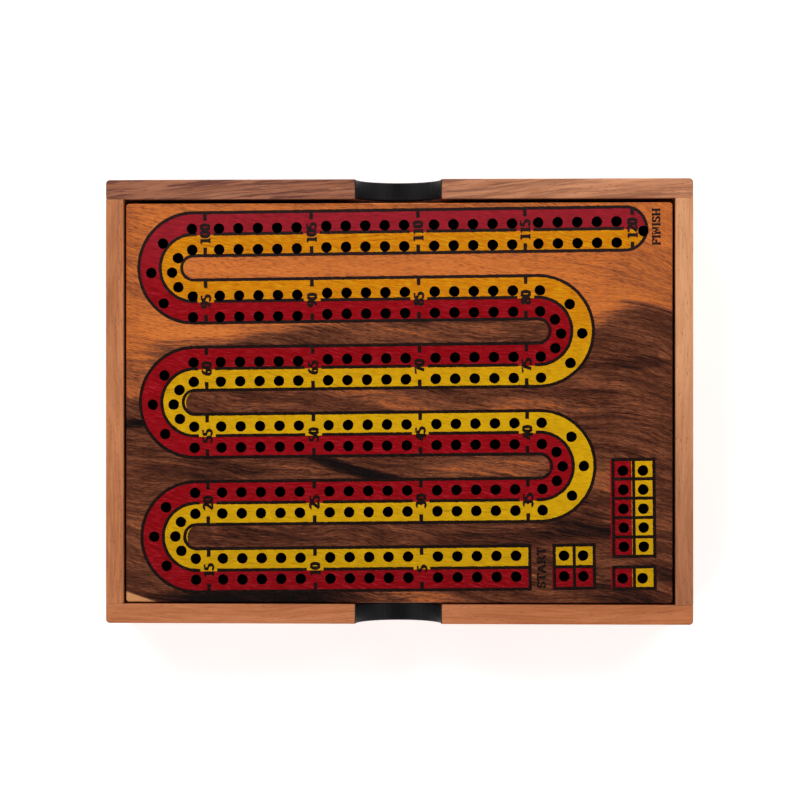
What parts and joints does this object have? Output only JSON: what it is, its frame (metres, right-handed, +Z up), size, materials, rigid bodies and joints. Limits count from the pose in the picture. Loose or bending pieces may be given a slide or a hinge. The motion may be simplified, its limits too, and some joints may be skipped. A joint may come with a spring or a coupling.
{
  "type": "boxed cribbage board",
  "caption": "Boxed cribbage board: a drilled, painted wooden peg board that lifts by finger notches out of a shallow box with wells for card decks and pegs.",
  "frame": {"origin": "centre of the box's underside", "axes": "+X along the long rails, towards the games boxes; +Y towards the rear rail, where the last run of holes is; +Z up, out of the peg holes"},
  "size_m": [0.21, 0.159, 0.036],
  "materials": {
    "box_wood": "satin oiled hardwood",
    "board_wood": "satin oiled hardwood, streaked dark brown to orange",
    "base_ply": "plain plywood",
    "divider_wood": "planed hardwood",
    "brad_steel": "bright steel",
    "card_stock": "coated card",
    "red_peg": "stained and lacquered wood",
    "yellow_peg": "stained and lacquered wood",
    "red_ink": "stencilled paint soaked into the wood",
    "yellow_ink": "stencilled paint soaked into the wood",
    "black_ink": "stencilled paint soaked into the wood",
    "notch_paint": "satin black paint"
  },
  "bodies": {
    "box": {"front_rail": "box_wood", "rear_rail": "box_wood", "left_rail": "box_wood", "right_rail": "box_wood", "base_panel": "base_ply", "corner_brads": "brad_steel", "base_brads": "brad_steel", "left_ledge": "divider_wood", "right_ledge": "divider_wood", "long_divider": "divider_wood", "cross_divider": "divider_wood"},
    "board": {"playing_board": "board_wood"},
    "deck_left": {"card_deck_left": "card_stock"},
    "deck_right": {"card_deck_right": "card_stock"},
    "red_peg_1_body": {"red_peg_1": "red_peg"},
    "red_peg_2_body": {"red_peg_2": "red_peg"},
    "red_peg_3_body": {"red_peg_3": "red_peg"},
    "yellow_peg_1_body": {"yellow_peg_1": "yellow_peg"},
    "yellow_peg_2_body": {"yellow_peg_2": "yellow_peg"},
    "yellow_peg_3_body": {"yellow_peg_3": "yellow_peg"}
  },
  "joints": [
    {"name": "board_lift", "type": "slide", "parent": "box", "child": "board", "axis": [0, 0, 1], "range_m": [0, 0.06]},
    {"name": "deck_left_lift", "type": "slide", "parent": "box", "child": "deck_left", "axis": [0, 0, 1], "range_m": [0, 0.005]},
    {"name": "deck_right_lift", "type": "slide", "parent": "box", "child": "deck_right", "axis": [0, 0, 1], "range_m": [0, 0.005]},
    {"name": "red_peg_1_lift", "type": "slide", "parent": "box", "child": "red_peg_1_body", "axis": [0, 0, 1], "range_m": [0, 0.014]},
    {"name": "red_peg_2_lift", "type": "slide", "parent": "box", "child": "red_peg_2_body", "axis": [0, 0, 1], "range_m": [0, 0.014]},
    {"name": "red_peg_3_lift", "type": "slide", "parent": "box", "child": "red_peg_3_body", "axis": [0, 0, 1], "range_m": [0, 0.014]},
    {"name": "yellow_peg_1_lift", "type": "slide", "parent": "box", "child": "yellow_peg_1_body", "axis": [0, 0, 1], "range_m": [0, 0.014]},
    {"name": "yellow_peg_2_lift", "type": "slide", "parent": "box", "child": "yellow_peg_2_body", "axis": [0, 0, 1], "range_m": [0, 0.014]},
    {"name": "yellow_peg_3_lift", "type": "slide", "parent": "box", "child": "yellow_peg_3_body", "axis": [0, 0, 1], "range_m": [0, 0.014]}
  ]
}
